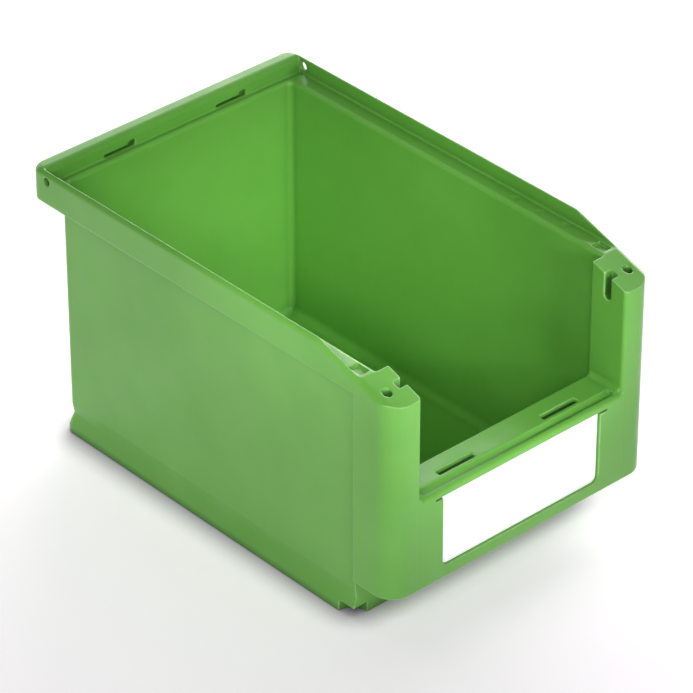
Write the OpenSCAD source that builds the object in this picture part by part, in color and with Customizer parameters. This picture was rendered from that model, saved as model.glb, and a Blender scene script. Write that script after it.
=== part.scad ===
// Stackable open-front storage bin: one polypropylene moulding and the blank card in its label field.
// Millimetres. X runs across the bin, Y from the open front to the back, Z up from the floor.
// The origin is the middle of the outer box, on the surface that the bin stands on.

/* [Overall size] */
// Width over the rim and the front posts
bin_w = 150; // [130:1:180]
// Length over the front frame and the back rim
bin_l = 230; // [195:1:280]
// Height from the standing surface to the top of the rim
bin_h = 138; // [118:1:165]

/* [Tub] */
// Thickness of the side, back and front walls
wall_t = 2.2; // [1.6:0.1:2.8]
// How far the side walls stand inside the rim's outer face
side_inset = 8.5; // [7.4:0.1:10]
// How far the back wall stands inside the rim's outer face
back_inset = 10; // [9:0.1:12]
// Height of the top of the bin's floor
floor_z = 7.3; // [6.2:0.1:8.6]
// Thickness of the bin's floor
floor_t = 2.2; // [1.6:0.1:2.8]
// Radius inside, between walls and floor
inside_r = 4; // [3:0.1:5]
// Radius of the upright corners inside
inside_corner_r = 2.5; // [1.6:0.1:3.6]
// Outside radius of the back corners of the tub
tub_corner_r = 3; // [2:0.1:4.5]

/* [Stacking foot] */
// Height of the hollow band round the foot
foot_h = 14.9; // [11:0.1:17.5]
// How far the hollow band goes in behind the walls
foot_hollow = 0.8; // [0.2:0.1:1]
// How far the foot's flange stands out from the walls
foot_lip = 1.6; // [0.8:0.1:2]
// Height of the flange's upright edge
foot_edge_h = 3.6; // [2.4:0.1:4.6]
// Width of the ring that the bin stands on
foot_ring_w = 3.7; // [2.8:0.1:4.5]
// Radius of the scallop at the front corners of the foot
foot_scallop_r = 8.5; // [6:0.1:9.5]

/* [Rim] */
// Height of the rim above the stacking ledge
rim_h = 8; // [6.6:0.1:9.6]
// How far the rim's skirt hangs below the ledge
skirt_drop = 8.1; // [6.7:0.1:9.8]
// Thickness of the rim, its skirt and the ledge
rim_t = 2; // [1.6:0.1:2.4]
// Width of the hollow back rim
back_rim_w = 8.8; // [8:0.1:10]
// Outside radius of the back corners, seen from above
rim_corner_r = 6; // [5:0.1:7.2]
// Radius along the upper edges of the rim and the posts
roll_r = 3; // [2:0.1:3.6]
// Radius of the ledge's inner edge
ledge_edge_r = 2; // [1.2:0.1:2.4]

/* [Front frame] */
// Height of the ledge on the low front wall
front_h = 73.4; // [60:0.1:88]
// How far the foot stands behind the frame's front face
foot_setback = 31; // [28:0.1:36]
// Height of the frame's open bottom edge
frame_lift = 27.8; // [23:0.1:32]
// Depth of the low front wall, front face to inner face
front_wall_d = 19.5; // [17:0.1:20.4]
// Width of each post
post_w = 16.8; // [15.8:0.1:20]
// Depth of each post at the bin's mouth
post_d = 20.5; // [20.4:0.1:24]
// Depth of each post along the outer face
post_side_d = 23.3; // [21:0.1:26]
// Outside radius of the posts
post_r = 10; // [8:0.1:12]
// Radius of the posts' inner front edges
post_inner_r = 2; // [1:0.1:2.4]
// Drop of the sloping post tops, from the ledge to the front face
post_drop = 6.6; // [5.4:0.1:7.9]

/* [Label field] */
// Width of the label card
label_w = 90; // [72:1:94]
// Height of the label card
label_h = 35.5; // [27:0.5:37]
// Thickness of the label card
label_t = 0.4; // [0.2:0.1:0.8]
// Play round the edges of the card
label_play = 0.3; // [0.2:0.1:0.5]
// Depth of the label field
label_field_d = 2; // [1.4:0.1:2.4]
// Height of the rail under the label field
label_rail_h = 5.6; // [4:0.1:6.5]

/* [Holes, slots and notches] */
// Diameter of the rod holes in the rim and the post tops
rod_hole_d = 4; // [3:0.1:4.6]
// Length of the tube under each post's hole
rod_tube_l = 13; // [10:0.5:16]
// Length of the two slots in the front ledge
front_slot_l = 20.5; // [14:0.5:24]
// Width of the slots in the front ledge
front_slot_w = 3.2; // [2:0.1:3.8]
// Length of the two slots in the back rim
back_slot_l = 17.3; // [12:0.1:20]
// Height of the slots in the back rim, at their tall end
back_slot_h = 2.8; // [2:0.1:3.4]
// Length of the tall end
back_slot_end_l = 3.8; // [3:0.1:5]
// Width of the notch down the inner face of each post
notch_w = 3.9; // [3:0.1:5.5]
// Depth of the notch
notch_d = 4.4; // [2.5:0.1:5]
// Height of the notch
notch_h = 12; // [9:0.1:14]

/* [Hidden] */
$fn = 96;

CUT = 1;                                        // how far a cutter runs past the face it opens
GREEN = [0.42, 0.67, 0.34];
CARD_WHITE = [0.97, 0.97, 0.96];

half_w = bin_w / 2;
ledge_z = bin_h - rim_h;
skirt_z = ledge_z - skirt_drop;

// Tub: the box that holds the goods
tub_half_w = half_w - side_inset;
tub_back_y = bin_l - back_inset;
inside_half_w = tub_half_w - wall_t;
inside_back_y = tub_back_y - wall_t;
inside_foot_y = foot_setback + wall_t;
panel_y = front_wall_d - wall_t;                // outer side of the low wall's inner panel
waist_z = foot_h * 0.67;                        // where the band is at its deepest
ramp_z = frame_lift - 5;                        // where the front wall starts to lean forward
ramp_top_z = ramp_z + 1.5 * (foot_setback - panel_y);

// Slope that the post tops and the front ends of the rim share
post_front_z = ledge_z - post_drop;
slope_rise = post_drop / post_d;
slope_a = atan(slope_rise);
bend_y = (bin_h - post_front_z) / slope_rise;

// Posts
post_in = half_w - post_w;                      // from the middle to a post's inner face
notch_y = 11.1;
notch_floor_z = post_front_z - notch_h + slope_rise * notch_y;
hole_in = 6.5;                                  // from the outer face to the middle of a post's hole
hole_y = 9.7;
tube_r = rod_hole_d / 2 + wall_t;

// Label field and the lip over it
field_half_w = label_w / 2 + label_play;
field_z = frame_lift + label_rail_h;
field_top_z = field_z + label_h + label_play;
field_corner_r = 3;
lip_r = 2;
lip_z = front_h - 0.4;                          // top of the lip, just under the ledge
lip_gap = 0.9;                                  // height of the slit that runs on past the label
lip_slit_l = 4.5;
groove_r = 2.1;
groove_d = 1.6;
groove_y = 4.2;
groove_back_y = groove_y + groove_r;
mouth_r = 2.8;                                  // between the front ledge and the posts

// Details of the ledges
rod_y = bin_l - back_rim_w - 2.2;
rod_z = ledge_z + 3.4;
front_slot_x = 29.9;
front_slot_y = 9.8;
back_slot_x = 32.1;
back_slot_z = ledge_z + 0.5;
well_corner_r = 1;
pocket = [4.8, 7, 1.2];                         // seat for the foot of the bin stacked on top
pocket_in = 1.5;                                // from the rim's inner face to the pocket
pocket_y = post_side_d - 0.8;
marks_y = post_side_d + 10;                     // one pitch in front of the first mark
mark_r = 2;                                     // round marks that ejector pins leave in the ledge
mark_d = 0.2;
mark_pitch = 15;

// Runs a profile of (x, z) points from y0 to y1
module along_y(y0, y1) {
    translate([0, y1, 0]) rotate([90, 0, 0]) linear_extrude(y1 - y0) children();
}

// Runs a profile of (y, z) points from x0 to x1
module along_x(x0, x1) {
    translate([x0, 0, 0]) rotate([90, 0, 90]) linear_extrude(x1 - x0) children();
}

// Places its children on the right-hand side and again on the left
module both_sides() {
    children();
    mirror([1, 0, 0]) children();
}

// Plan outline, square at the front and rounded at the back corners
module plan(half, y0, y1, r) {
    translate([-half, y0]) square([2 * half, y1 - r - y0]);
    translate([r - half, y0]) square([2 * (half - r), y1 - y0]);
    for (x = [r - half, half - r]) translate([x, y1 - r]) circle(r);
}

// What a radius takes off a square corner at the origin
module corner_waste(r) {
    difference() {
        translate([-CUT, -CUT]) square(r + CUT);
        translate([r, r]) circle(r);
    }
}

// Sweeps a profile, x outward from the wall face, round both sides and the back of the tub
module round_the_tub(half, y0, y1, r) {
    both_sides() {
        translate([half, 0, 0]) along_y(y0, y1 - r) children();
        translate([half - r, y1 - r, 0]) rotate_extrude(angle = 90) translate([r, 0]) children();
    }
    translate([0, y1, 0]) along_x(r - half, half - r) children();
}

// Outline of the tub seen from the side, set in by t from its outer faces
module tub_side(t, z0, z1) {
    polygon([
        [foot_setback + t, z0],
        [foot_setback + t, ramp_z + t / 2],
        [panel_y + t, ramp_top_z + t / 2],
        [panel_y + t, z1],
        [tub_back_y - t, z1],
        [tub_back_y - t, z0]
    ]);
}

module tub_outside() {
    intersection() {
        along_x(-tub_half_w, tub_half_w) tub_side(0, 0, ledge_z);
        linear_extrude(ledge_z) plan(tub_half_w, 0, tub_back_y, tub_corner_r);
    }
}

module tub_inside() {
    top_z = bin_h + CUT;
    intersection() {
        along_x(-tub_half_w, tub_half_w) difference() {
            tub_side(wall_t, floor_z, top_z);
            translate([inside_foot_y, floor_z]) corner_waste(inside_r);
            translate([inside_back_y, floor_z]) mirror([1, 0]) corner_waste(inside_r);
        }
        along_y(0, bin_l) difference() {
            translate([-inside_half_w, floor_z]) square([2 * inside_half_w, top_z - floor_z]);
            for (s = [-1, 1]) translate([s * inside_half_w, floor_z]) mirror([s > 0 ? 1 : 0, 0])
                corner_waste(inside_r);
        }
        linear_extrude(top_z) plan(inside_half_w, 0, inside_back_y, inside_corner_r);
    }
}

// Hollow band above the foot, and the flange below it
module foot_band() {
    round_the_tub(tub_half_w, foot_setback - CUT, tub_back_y, tub_corner_r)
        polygon([[0, foot_h], [-foot_hollow, waist_z], [-foot_hollow, -CUT], [3, -CUT], [3, foot_h]]);
}

module foot_flange() {
    round_the_tub(tub_half_w, foot_setback, tub_back_y, tub_corner_r)
        polygon([
            [-wall_t, 0], [foot_lip, 0], [foot_lip, foot_edge_h],
            [-foot_hollow, waist_z], [-wall_t, waist_z]
        ]);
}

// Space inside the ring that the bin stands on
module under_floor() {
    recess_h = floor_z - floor_t;
    side = tub_half_w - foot_ring_w;
    translate([0, 0, -CUT]) linear_extrude(recess_h + CUT) {
        plan(side, foot_setback + foot_scallop_r + foot_ring_w, tub_back_y - foot_ring_w, tub_corner_r);
        translate([foot_scallop_r - side, foot_setback + foot_ring_w])
            square([2 * (side - foot_scallop_r), foot_scallop_r + CUT]);
    }
}

// Cross section of the rim: filled, with both upper edges rounded
module rim_section(z0) {
    roll_z = bin_h - roll_r;
    translate([-half_w, z0]) square([bin_w, roll_z - z0]);
    translate([roll_r - half_w, z0]) square([2 * (half_w - roll_r), bin_h - z0]);
    for (s = [-1, 1]) translate([s * (half_w - roll_r), roll_z]) circle(roll_r);
}

// The same rounding as it runs round the back corners and along the back
module back_section(w) {
    roll_z = bin_h - roll_r;
    translate([-w, skirt_z]) square([w, roll_z - skirt_z]);
    translate([-w, skirt_z]) square([w - roll_r, bin_h - skirt_z]);
    translate([-roll_r, roll_z]) circle(roll_r);
}

// Everything below the slope of the rim's front ends, with both edges rounded
module under_slope() {
    translate([0, bend_y, bin_h]) rotate([slope_a, 0, 0]) translate([0, 0, -bin_h])
        along_y(-2 * bin_h, bin_l) rim_section(-2 * bin_h);
}

module rim_outside() {
    back_y = bin_l - rim_corner_r;
    intersection() {
        along_y(0, back_y) rim_section(skirt_z);
        under_slope();
    }
    translate([0, bin_l, 0]) along_x(rim_corner_r - half_w, half_w - rim_corner_r)
        back_section(rim_corner_r);
    both_sides() translate([half_w - rim_corner_r, back_y, 0]) rotate_extrude(angle = 90)
        translate([rim_corner_r, 0]) back_section(rim_corner_r);
}

// Well above the ledge, where the next bin's foot stands
module rim_well() {
    well_back_y = bin_l - back_rim_w;
    translate([0, 0, ledge_z]) linear_extrude(rim_h + CUT)
        plan(half_w - rim_t, post_d, well_back_y, well_corner_r);
}

// Rounded inner edge of the back rim
module back_rim_edge() {
    translate([0, bin_l - back_rim_w, bin_h]) along_x(rim_t - half_w, half_w - rim_t)
        mirror([0, 1]) corner_waste(roll_r);
}

// Open channel between the skirt and the tub, and the hollow of the back rim above it
module skirt_channel() {
    inner = half_w - rim_t;
    outer_r = rim_corner_r - rim_t;
    hollow_y = bin_l - back_rim_w + rim_t;
    translate([0, 0, skirt_z - CUT]) linear_extrude(skirt_drop - rim_t + CUT) difference() {
        plan(inner, post_side_d, bin_l - rim_t, outer_r);
        plan(tub_half_w, 0, tub_back_y, tub_corner_r);
    }
    translate([0, 0, skirt_z]) linear_extrude(bin_h - rim_t - skirt_z) intersection() {
        plan(inner, post_side_d, bin_l - rim_t, outer_r);
        translate([-half_w, hollow_y]) square([bin_w, back_rim_w]);
    }
}

// Rounded inner edge of the ledge
module ledge_edge() {
    round_the_tub(inside_half_w, post_d, inside_back_y, inside_corner_r)
        translate([0, ledge_z]) mirror([0, 1]) corner_waste(ledge_edge_r);
}

// Plan of the right-hand post
module post_plan() {
    difference() {
        translate([post_in, 0]) square([post_w, post_d]);
        translate([half_w, 0]) mirror([1, 0]) corner_waste(post_r);
        translate([post_in, 0]) corner_waste(post_inner_r);
    }
}

// Post, closed at its sloping top and open below
module post() {
    top_t = rim_t / cos(slope_a);
    block_x = post_in + notch_d + wall_t;       // the notch is cut into the solid block up to here
    difference() {
        union() {
            intersection() {
                translate([0, 0, frame_lift]) linear_extrude(bin_h - frame_lift) post_plan();
                under_slope();
            }
            intersection() {
                translate([inside_half_w, post_d - wall_t, frame_lift])
                    cube([
                        side_inset + wall_t,
                        post_side_d - post_d + wall_t,
                        ledge_z - rim_t / 2 - frame_lift
                    ]);
                under_slope();
            }
        }
        difference() {
            union() {
                translate([post_in + wall_t, wall_t, 0])
                    cube([post_w - 2 * wall_t, post_d - 2 * wall_t, notch_floor_z - wall_t]);
                translate([block_x, wall_t, 0])
                    cube([half_w - wall_t - block_x, post_d - 2 * wall_t, bin_h]);
            }
            translate([0, 0, -top_t]) slope_waste();
            translate([half_w, 0, 0]) mirror([1, 0, 0]) linear_extrude(bin_h) translate([wall_t, wall_t])
                corner_waste(post_r - wall_t);
            post_tube();
        }
        post_hole();
        post_notch();
    }
}

module post_tube() {
    translate([half_w - hole_in, hole_y, post_front_z + slope_rise * hole_y - rod_tube_l])
        cylinder(h = rod_tube_l, r = tube_r);
}

// Hole in the post's top, on through its tube, with a countersink
module post_hole() {
    sink = 0.3;
    cone_h = 3 * sink;                          // taller than the sink, to clear the sloping top
    r = rod_hole_d / 2;
    translate([half_w - hole_in, hole_y, 0]) {
        translate([0, 0, frame_lift]) cylinder(h = bin_h - frame_lift + CUT, r = r);
        translate([0, 0, post_front_z + slope_rise * hole_y - sink])
            cylinder(h = cone_h, r1 = r, r2 = r + cone_h);
    }
}

// Notch in the post's inner face, round at its lower end
module post_notch() {
    r = notch_w / 2;
    along_x(post_in - CUT, post_in + notch_d) {
        translate([notch_y - r, notch_floor_z + r]) square([notch_w, bin_h]);
        translate([notch_y, notch_floor_z + r]) circle(r);
    }
}

// All that lies above the slope of the post tops
module slope_waste() {
    along_x(-half_w - CUT, half_w + CUT) polygon([
        [-2 * CUT, post_front_z - 2 * CUT * slope_rise],
        [bend_y, bin_h],
        [bend_y, 2 * bin_h],
        [-2 * CUT, 2 * bin_h]
    ]);
}

// Low front wall between the posts: front panel, ledge and the hollow behind them
module front_wall() {
    difference() {
        translate([-post_in - CUT, 0, frame_lift])
            cube([2 * (post_in + CUT), front_wall_d, front_h - frame_lift]);
        front_hollow();
        front_lip();
        front_slots();
        label_field();
        both_sides() lip_end();
    }
    both_sides() translate([post_in, 0, front_h]) along_y(lip_r, front_wall_d)
        mirror([1, 0]) corner_waste(mouth_r);
}

// What the rounded lip and the groove behind it take off the wall's upper edge
module front_lip() {
    along_x(-post_in, post_in) {
        translate([groove_y, front_h - groove_d + groove_r]) circle(groove_r);
        difference() {
            translate([-CUT, lip_z - lip_r]) square([lip_r + CUT, lip_r + CUT]);
            translate([lip_r, lip_z - lip_r]) circle(lip_r);
        }
        translate([lip_r - CUT / 2, lip_z]) square([groove_y - lip_r, CUT]);
    }
}

// Hollow of the front wall, open below, in three bays and stepped under the groove
module front_hollow() {
    bay = field_half_w + wall_t;
    along_x(-bay, bay) hollow_side(label_field_d + wall_t);
    both_sides() along_x(bay - CUT, post_in) hollow_side(wall_t);
}

// Side view of the hollow, from y0 to the wall's inner panel
module hollow_side(y0) {
    top_z = front_h - rim_t;
    polygon([
        [y0, frame_lift - CUT],
        [y0, top_z - groove_d],
        [groove_back_y, top_z - groove_d],
        [groove_back_y, top_z],
        [panel_y, top_z],
        [panel_y, frame_lift - CUT]
    ]);
}

module front_slots() {
    both_sides()
        translate([front_slot_x - front_slot_l / 2, front_slot_y - front_slot_w / 2, front_h - 2 * rim_t])
            cube([front_slot_l, front_slot_w, 2 * rim_t + CUT]);
}

// Field for the label card, with rounded lower corners
module label_field() {
    along_y(-CUT, label_field_d) difference() {
        translate([-field_half_w, field_z]) square([2 * field_half_w, field_top_z - field_z]);
        translate([-field_half_w, field_z]) corner_waste(field_corner_r);
        translate([field_half_w, field_z]) mirror([1, 0]) corner_waste(field_corner_r);
    }
}

// Slit under the lip, from the label field on toward each post
module lip_end() {
    r = lip_gap / 2;
    along_y(-CUT, label_field_d) {
        translate([field_half_w - CUT, field_top_z - lip_gap]) square([lip_slit_l + CUT - r, lip_gap]);
        translate([field_half_w + lip_slit_l - r, field_top_z - r]) circle(r);
    }
}

// Slots along the foot of the back rim's inner face, each tall at its right-hand end
module back_slots() {
    run_y = rim_t + 2 * CUT;
    y = bin_l - back_rim_w - CUT;
    for (s = [-1, 1]) translate([s * back_slot_x - back_slot_l / 2, y, back_slot_z]) {
        cube([back_slot_l, run_y, back_slot_h / 2]);
        translate([back_slot_l - back_slot_end_l, 0, 0]) cube([back_slot_end_l, run_y, back_slot_h]);
    }
}

// Hole for the cross rod, through the rim on both sides
module rim_holes() {
    translate([-half_w - CUT, rod_y, rod_z]) rotate([0, 90, 0])
        cylinder(h = bin_w + 2 * CUT, d = rod_hole_d);
}

// Pockets behind the posts and ejector marks along the side ledges
module ledge_marks() {
    x = half_w - rim_t - pocket_in - pocket[0] / 2;
    both_sides() {
        translate([x - pocket[0] / 2, pocket_y, ledge_z - pocket[2]])
            cube([pocket[0], pocket[1], rim_h]);
        for (i = [1:3]) translate([x, marks_y + i * mark_pitch, ledge_z - mark_d])
            cylinder(h = rim_h, r = mark_r);
    }
}

// Opening over the low front wall, between the posts
module mouth() {
    translate([-post_in, -CUT, front_h]) cube([2 * post_in, post_d + CUT, bin_h]);
}

// Scallops at the front corners of the foot
module foot_scallops() {
    both_sides() translate([tub_half_w + foot_lip, foot_setback, -CUT])
        cylinder(h = floor_z - floor_t + CUT, r = foot_scallop_r);
}

module bin_body() {
    color(GREEN) translate([0, -bin_l / 2, 0]) difference() {
        union() {
            difference() {
                union() {
                    tub_outside();
                    rim_outside();
                }
                tub_inside();
                rim_well();
                skirt_channel();
                ledge_edge();
                foot_band();
                translate([0, -CUT, 0]) mouth();
                translate([-half_w - CUT, -CUT, skirt_z - CUT])
                    cube([bin_w + 2 * CUT, post_d + CUT, bin_h]);
            }
            foot_flange();
            both_sides() post();
            front_wall();
        }
        back_rim_edge();
        under_floor();
        foot_scallops();
        back_slots();
        rim_holes();
        ledge_marks();
    }
}

module label_card() {
    gap = 0.1;                                  // air behind the card
    z = field_z + label_play / 2;
    color(CARD_WHITE) translate([0, -bin_l / 2, 0])
        along_y(label_field_d - gap - label_t, label_field_d - gap) difference() {
            translate([-label_w / 2, z]) square([label_w, label_h]);
            translate([-label_w / 2, z]) corner_waste(field_corner_r);
            translate([label_w / 2, z]) mirror([1, 0]) corner_waste(field_corner_r);
        }
}

bin_body();
label_card();
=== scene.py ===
# %% [markdown]
# # A stackable storage bin
# The bin is one injection moulding in green polypropylene, with a blank white card under the lip of its
# low front wall. The CAD part fixes every size. This file gives the two pieces their finish and builds a
# plain studio round them: a light table, three softboxes and two soft spots.

# %% Load the frame
import math

import bpy
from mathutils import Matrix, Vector


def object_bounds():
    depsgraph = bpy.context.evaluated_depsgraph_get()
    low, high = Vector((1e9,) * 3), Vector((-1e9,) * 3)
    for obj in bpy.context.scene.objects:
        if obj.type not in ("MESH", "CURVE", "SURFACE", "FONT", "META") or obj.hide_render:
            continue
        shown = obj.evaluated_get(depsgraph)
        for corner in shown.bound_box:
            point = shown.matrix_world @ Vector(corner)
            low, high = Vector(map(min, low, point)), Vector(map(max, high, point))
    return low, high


MM = 0.001
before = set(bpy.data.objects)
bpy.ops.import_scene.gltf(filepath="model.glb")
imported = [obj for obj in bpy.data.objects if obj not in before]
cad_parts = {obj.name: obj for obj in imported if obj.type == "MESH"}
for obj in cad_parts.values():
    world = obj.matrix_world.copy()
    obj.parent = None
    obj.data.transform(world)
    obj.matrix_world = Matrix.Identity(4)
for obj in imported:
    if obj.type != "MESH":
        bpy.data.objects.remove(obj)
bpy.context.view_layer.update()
low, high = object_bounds()
centre = (low + high) / 2
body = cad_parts["bin_body"]
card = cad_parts["label_card"]
print("CAD box in mm:", [round((b - a) / MM, 1) for a, b in zip(low, high)])

# %% [markdown]
# ## Colours and nodes
# Colours are written as sRGB hex, the way a colour picker shows them, and one function turns them to the
# linear values that a shader works in. A second function adds a node, fills in its settings and links its
# inputs, so that each material below reads as a list of its parts.


# %% Colour and node helpers
def linear(hex_colour):
    """An sRGB hex colour as linear red, green, blue and alpha."""
    channels = [int(hex_colour[i : i + 2], 16) / 255 for i in (1, 3, 5)]
    return [c / 12.92 if c <= 0.04045 else ((c + 0.055) / 1.055) ** 2.4 for c in channels] + [1.0]


def add_node(tree, kind, settings=None, **inputs):
    """Adds a node. settings are its properties. An input is a value, or a (node, output) pair to link."""
    node = tree.nodes.new(kind)
    for name, value in (settings or {}).items():
        setattr(node, name, value)
    for name, value in inputs.items():
        socket = node.inputs[int(name[1:])] if name[1:].isdigit() else node.inputs[name.replace("_", " ")]
        if isinstance(value, tuple) and len(value) == 2 and hasattr(value[0], "outputs"):
            tree.links.new(value[0].outputs[value[1]], socket)
        else:
            socket.default_value = value
    return node


def empty_material(name):
    """A material with no nodes yet, and its node tree."""
    material = bpy.data.materials.new(name)
    material.use_nodes = True
    material.node_tree.nodes.clear()
    return material, material.node_tree


print("white in linear values:", linear("#FFFFFF"))

# %% [markdown]
# ## Rounded edges
# A moulding has no sharp edge: the tool is broken at every corner by a few tenths of a millimetre, and
# those small rounds catch the light. A bevel modifier would trip over the long thin triangles that come
# from CAD. A voxel remesh makes an even skin at 0.4 mm instead. A few passes of smoothing then round each
# edge and leave the flat walls flat.

# %% Round the edges of the moulding
VOXEL = 0.4 * MM
EDGE_PASSES = 4

skin = body.modifiers.new("even_skin", "REMESH")
skin.mode = "VOXEL"
skin.voxel_size = VOXEL
skin.use_smooth_shade = True
soften = body.modifiers.new("broken_edges", "SMOOTH")
soften.factor = 0.5
soften.iterations = EDGE_PASSES
print("skin every", round(skin.voxel_size / MM, 2), "mm,", EDGE_PASSES, "passes")

# %% [markdown]
# ## Injection-moulded polypropylene
# Polypropylene is a waxy plastic with a refractive index near 1.49. The tool is spark-eroded, which
# leaves a satin of fine dimples about 0.4 mm apart, so the light on it is broad and soft. Five more things
# keep it from looking like paint:
# - The pigment isn't mixed perfectly, so the tone drifts by a few percent over several centimetres.
# - The plastic cools unevenly, and the walls are a little wavy.
# - Edges that rub against other bins turn pale, here and there more than elsewhere. The same pale colour is
#   also a painted highlight line along each edge.
# - Inside corners and grooves get painted shade: ambient occlusion finds them and darkens their colour.
# - Hands and boxes polish some patches and dull others.
# The skin above is even and dense, so its pointiness finds the edges.


# %% Material for the moulding
TONE_DRIFT = 45 * MM
RUB_AND_HIGHLIGHT_PATCH = 3 * MM
# Reach and rays of the painted shade in inside corners and grooves.
CORNER_SHADE_REACH = 8 * MM
CORNER_SHADE_RAYS = 6
SHEEN_PATCH = 14 * MM
DIMPLE = 0.4 * MM
WALL_WAVE = 30 * MM
ROUGH_LOW = 0.32
ROUGH_HIGH = 0.46
POLYPROPYLENE_IOR = 1.49


def polypropylene():
    material, tree = empty_material("moulded_polypropylene")
    place = add_node(tree, "ShaderNodeTexCoord")
    drift = add_node(tree, "ShaderNodeTexNoise", Vector=(place, "Object"), Scale=1 / TONE_DRIFT, Detail=3.0)
    cloud = add_node(tree, "ShaderNodeMapRange", Value=(drift, 0), From_Min=0.35, From_Max=0.65)
    tone = add_node(
        tree,
        "ShaderNodeMix",
        {"data_type": "RGBA"},
        _0=(cloud, 0),
        _6=linear("#69B044"),
        _7=linear("#70B74B"),
    )

    shape = add_node(tree, "ShaderNodeNewGeometry")
    # Pale edges: partly wear from rubbing, partly a painted highlight line along the edges.
    edge = add_node(tree, "ShaderNodeMapRange", Value=(shape, "Pointiness"), From_Min=0.515, From_Max=0.58)
    rub_and_highlight_noise = add_node(tree, "ShaderNodeTexNoise", Vector=(place, "Object"), Scale=1 / RUB_AND_HIGHLIGHT_PATCH, Detail=4.0)
    often = add_node(tree, "ShaderNodeMapRange", Value=(rub_and_highlight_noise, 0), From_Min=0.35, From_Max=0.6, To_Min=0.45)
    rub_and_highlight = add_node(tree, "ShaderNodeMath", {"operation": "MULTIPLY"}, _0=(edge, 0), _1=(often, 0))
    worn_and_highlit = add_node(
        tree,
        "ShaderNodeMix",
        {"data_type": "RGBA"},
        _0=(rub_and_highlight, 0),
        _6=(tone, 2),
        _7=linear("#C4E9AC"),
    )
    # Painted shade: ambient occlusion darkens the colour towards dark green in inside corners and grooves.
    corner_ao = add_node(tree, "ShaderNodeAmbientOcclusion", {"samples": CORNER_SHADE_RAYS}, Distance=CORNER_SHADE_REACH)
    corner_shade_mask = add_node(
        tree, "ShaderNodeMapRange", Value=(corner_ao, "AO"), From_Min=0.85, From_Max=0.25, To_Max=0.85
    )
    with_corner_shade = add_node(
        tree,
        "ShaderNodeMix",
        {"data_type": "RGBA"},
        _0=(corner_shade_mask, 0),
        _6=(worn_and_highlit, 2),
        _7=linear("#2C5A20"),
    )

    patch = add_node(tree, "ShaderNodeTexNoise", Vector=(place, "Object"), Scale=1 / SHEEN_PATCH, Detail=5.0)
    sheen = add_node(
        tree,
        "ShaderNodeMapRange",
        Value=(patch, 0),
        From_Min=0.3,
        From_Max=0.7,
        To_Min=ROUGH_LOW,
        To_Max=ROUGH_HIGH,
    )

    grain = add_node(tree, "ShaderNodeTexNoise", Vector=(place, "Object"), Scale=1 / DIMPLE, Detail=2.0)
    wave = add_node(tree, "ShaderNodeTexNoise", Vector=(place, "Object"), Scale=1 / WALL_WAVE, Detail=1.0)
    wavy = add_node(tree, "ShaderNodeBump", Strength=0.25, Distance=0.5 * MM, Height=(wave, 0))
    relief = add_node(
        tree,
        "ShaderNodeBump",
        Strength=0.15,
        Distance=0.02 * MM,
        Height=(grain, 0),
        Normal=(wavy, 0),
    )
    surface = add_node(
        tree,
        "ShaderNodeBsdfPrincipled",
        Base_Color=(with_corner_shade, 2),
        Roughness=(sheen, 0),
        IOR=POLYPROPYLENE_IOR,
        Normal=(relief, 0),
    )
    add_node(tree, "ShaderNodeOutputMaterial", Surface=(surface, 0))
    return material


print("moulding: roughness", ROUGH_LOW, "to", ROUGH_HIGH, "refractive index", POLYPROPYLENE_IOR)

# %% [markdown]
# ## White card
# The label is a plain card, calendered between rollers. Its fibres show as a faint mottle under a millimetre
# across. The card also gets a faint painted glow of its own, in place of an optical brightener in the pulp.


# %% Material for the card
FIBRE = 0.7 * MM
CARD_GLOW = 0.3


def white_card():
    material, tree = empty_material("white_card")
    place = add_node(tree, "ShaderNodeTexCoord")
    fibre = add_node(tree, "ShaderNodeTexNoise", Vector=(place, "Object"), Scale=1 / FIBRE, Detail=5.0)
    tone = add_node(
        tree,
        "ShaderNodeMix",
        {"data_type": "RGBA"},
        _0=(fibre, 0),
        _6=linear("#F1F1EF"),
        _7=linear("#FDFDFC"),
    )
    tooth = add_node(tree, "ShaderNodeBump", Strength=0.2, Distance=0.02 * MM, Height=(fibre, 0))
    surface = add_node(
        tree,
        "ShaderNodeBsdfPrincipled",
        Base_Color=(tone, 2),
        Roughness=0.65,
        IOR=1.5,
        Normal=(tooth, 0),
        # Painted glow: the card emits a little light of its own.
        Emission_Color=(tone, 2),
        Emission_Strength=CARD_GLOW,
    )
    add_node(tree, "ShaderNodeOutputMaterial", Surface=(surface, 0))
    return material


for piece, make in ((body, polypropylene), (card, white_card)):
    piece.data.materials.clear()
    piece.data.materials.append(make())
    print(piece.name, "has", piece.data.materials[0].name)

# %% [markdown]
# ## Table
# The bin stands on a plain sheet of matt white acrylic with a faint light under it. Where the foot stands
# close over the sheet, an ambient occlusion node dims that glow and darkens the sheet's colour towards
# purple-grey: a painted shadow, a thin line along the foot.

# %% Build the table
TABLE_HALF = 4.0
GLOW = 0.43
SHADOW_REACH = 14 * MM
SHADOW_RAYS = 8
SHADOW_POWER = 2.0

table_mesh = bpy.data.meshes.new("light_table")
corners = [
    (-TABLE_HALF, -TABLE_HALF, 0),
    (TABLE_HALF, -TABLE_HALF, 0),
    (TABLE_HALF, TABLE_HALF, 0),
    (-TABLE_HALF, TABLE_HALF, 0),
]
table_mesh.from_pydata(corners, [], [(0, 1, 2, 3)])
table = bpy.data.objects.new("light_table", table_mesh)
bpy.context.scene.collection.objects.link(table)

acrylic, tree = empty_material("matt_white_acrylic")
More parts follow.
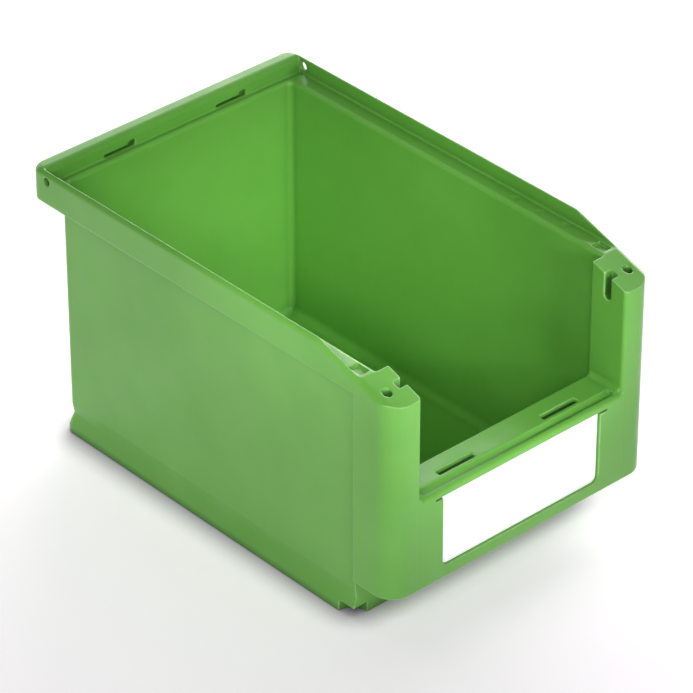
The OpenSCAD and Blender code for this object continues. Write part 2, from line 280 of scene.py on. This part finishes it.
# Painted shadow: ambient occlusion dims the glow and darkens the sheet towards purple-grey near the foot.
cover = add_node(tree, "ShaderNodeAmbientOcclusion", {"samples": SHADOW_RAYS}, Distance=SHADOW_REACH)
clear = add_node(tree, "ShaderNodeMath", {"operation": "POWER"}, _0=(cover, "AO"), _1=SHADOW_POWER)
glow = add_node(tree, "ShaderNodeMath", {"operation": "MULTIPLY"}, _0=(clear, 0), _1=GLOW)
tone = add_node(
    tree,
    "ShaderNodeMix",
    {"data_type": "RGBA"},
    _0=(clear, 0),
    _6=linear("#8C8492"),
    _7=linear("#F3EAF3"),
)
sheet = add_node(
    tree,
    "ShaderNodeBsdfPrincipled",
    Base_Color=(tone, 2),
    Roughness=0.9,
    IOR=1.49,
    Emission_Color=linear("#FFFFFF"),
    Emission_Strength=(glow, 0),
)
add_node(tree, "ShaderNodeOutputMaterial", Surface=(sheet, 0))
table_mesh.materials.append(acrylic)
print("table", 2 * TABLE_HALF, "m square, glow", GLOW)

# %% [markdown]
# ## Lamps
# One softbox stands high at the front left and lights the front and the left-hand wall. Two wide panels
# stand low, one behind the bin and one at its right, a little to the rear. They barely light its front, and
# they give the rims a thin pale line. Soft light alone doesn't get far past the walls, so two soft spots
# reach down to the back wall and the right-hand wall.


# %% Softboxes and spots
SOFTBOX_DISTANCE = 1.6
SOFTBOX_AIM = Vector((0, 0, 0.06))
SPOT_RADIUS = 0.03
ROOM_GLOW = 0.06


def aim(name, light, position, target):
    """Places a light and turns it to its target. Positions are in metres."""
    lamp = bpy.data.objects.new(name, light)
    lamp.location = position
    lamp.rotation_mode = "QUATERNION"
    lamp.rotation_quaternion = (Vector(target) - Vector(position)).to_track_quat("-Z", "Y")
    bpy.context.scene.collection.objects.link(lamp)
    print(name, light.energy, "W")


def softbox(name, azimuth, elevation, size, watts):
    """A square softbox. The azimuth runs from the front, to the left when negative."""
    light = bpy.data.lights.new(name, "AREA")
    light.shape = "SQUARE"
    light.size = size
    light.energy = watts
    a = math.radians(azimuth)
    e = math.radians(elevation)
    outward = Vector((math.sin(a) * math.cos(e), -math.cos(a) * math.cos(e), math.sin(e)))
    aim(name, light, SOFTBOX_AIM + outward * SOFTBOX_DISTANCE, SOFTBOX_AIM)


def spot(name, position, target, degrees, watts):
    """A narrow spot that fades from its middle to its rim."""
    light = bpy.data.lights.new(name, "SPOT")
    light.spot_size = math.radians(degrees)
    light.spot_blend = 1.0
    light.shadow_soft_size = SPOT_RADIUS
    light.energy = watts
    aim(name, light, position, target)


softbox("front_left", azimuth=-45, elevation=35, size=0.7, watts=11.2)
softbox("rear_panel", azimuth=170, elevation=15, size=1.4, watts=14)
softbox("right_rear_panel", azimuth=118, elevation=15, size=1.4, watts=36)
spot("back_wall", (-0.05, -0.62, 0.32), target=(0.015, 0.103, 0.045), degrees=20, watts=12)
spot("right_wall", (-0.42, -0.30, 0.42), target=(0.064, 0.035, 0.07), degrees=17, watts=5)

world = bpy.data.worlds.new("studio")
world.use_nodes = True
world.node_tree.nodes["Background"].inputs["Color"].default_value = (1, 1, 1, 1)
world.node_tree.nodes["Background"].inputs["Strength"].default_value = ROOM_GLOW
bpy.context.scene.world = world
bpy.context.scene.view_settings.view_transform = "Standard"

# %% [markdown]
# ## Camera
# A long lens looks down on the bin's front left-hand corner, which keeps its edges close to parallel.

# %% Camera
AZIMUTH = math.radians(-42.22)
ELEVATION = math.radians(33.58)
DISTANCE = 1.885
LENS = 226.4
SENSOR = 36.0
AIM_RIGHT = 3.6 * MM
AIM_DOWN = 2.2 * MM

back = Vector(
    (
        math.sin(AZIMUTH) * math.cos(ELEVATION),
        -math.cos(AZIMUTH) * math.cos(ELEVATION),
        math.sin(ELEVATION),
    )
)
right = Vector((math.cos(AZIMUTH), math.sin(AZIMUTH), 0))
up = back.cross(right)
camera_data = bpy.data.cameras.new("camera")
camera_data.lens = LENS
camera_data.sensor_width = SENSOR
camera = bpy.data.objects.new("camera", camera_data)
camera.location = centre + back * DISTANCE + right * AIM_RIGHT - up * AIM_DOWN
camera.rotation_mode = "QUATERNION"
camera.rotation_quaternion = (-back).to_track_quat("-Z", "Y")
bpy.context.scene.collection.objects.link(camera)
bpy.context.scene.camera = camera
print("lens", LENS, "mm at", DISTANCE, "m")
